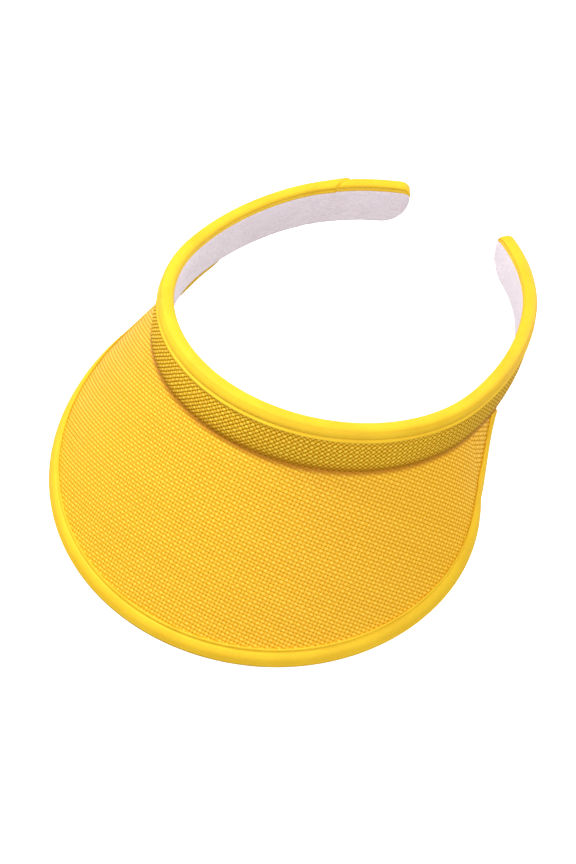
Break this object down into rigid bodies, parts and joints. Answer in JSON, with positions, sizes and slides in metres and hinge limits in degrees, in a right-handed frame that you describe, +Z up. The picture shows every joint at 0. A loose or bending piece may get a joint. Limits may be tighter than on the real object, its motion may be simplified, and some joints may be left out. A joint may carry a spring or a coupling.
{
  "type": "sun visor",
  "caption": "Clip-on sun visor: a wide sloping woven brim with a bound edge on a padded, C-shaped spring headband, open at the back, with a towelling lining.",
  "frame": {"origin": "centre of the front arc of the headband at half the band's height, where the axis of the wearer's forehead passes", "axes": "+Z up when worn, -Y the way the wearer looks and the brim points, +X to the wearer's left"},
  "size_m": [0.2046, 0.2438, 0.1054],
  "materials": {
    "woven_fabric": "golden yellow plain weave of flat, slightly glossy yarn with visible dark gaps between the threads",
    "under_fabric": "smooth matte yellow lining cloth",
    "bias_tape": "smooth lemon yellow folded bias tape with one stitch line near its inner edge",
    "towelling": "white looped towelling with a soft matte pile",
    "foam": "off-white open-cell sheet foam",
    "spring_plastic": "natural milky plastic strip",
    "board_plastic": "white flexible plastic sheet",
    "felt": "grey needle felt"
  },
  "bodies": {
    "front": {"front_spring_strip": "spring_plastic", "front_padding": "foam", "front_cover": "woven_fabric", "front_lining": "towelling", "front_top_binding": "bias_tape", "brim_board": "board_plastic", "brim_top_fabric": "woven_fabric", "brim_under_fabric": "under_fabric", "brim_edge_binding": "bias_tape", "brim_seam_tape": "bias_tape"},
    "left_arm": {"left_arm_spring_strip": "spring_plastic", "left_arm_tip_guard": "felt", "left_arm_padding": "foam", "left_arm_cover": "woven_fabric", "left_arm_lining": "towelling", "left_arm_top_binding": "bias_tape"},
    "right_arm": {"right_arm_spring_strip": "spring_plastic", "right_arm_tip_guard": "felt", "right_arm_padding": "foam", "right_arm_cover": "woven_fabric", "right_arm_lining": "towelling", "right_arm_top_binding": "bias_tape"}
  },
  "joints": [
    {"name": "left_arm_flex", "type": "hinge", "parent": "front", "child": "left_arm", "pos_m": [0.0739, 0.03628, 0], "axis": [0, 0, -1], "range_deg": [-5, 15], "stiffness_Nm_per_rad": 0.25},
    {"name": "right_arm_flex", "type": "hinge", "parent": "front", "child": "right_arm", "pos_m": [-0.0739, 0.03628, 0], "axis": [0, 0, 1], "range_deg": [-5, 15], "stiffness_Nm_per_rad": 0.25}
  ]
}
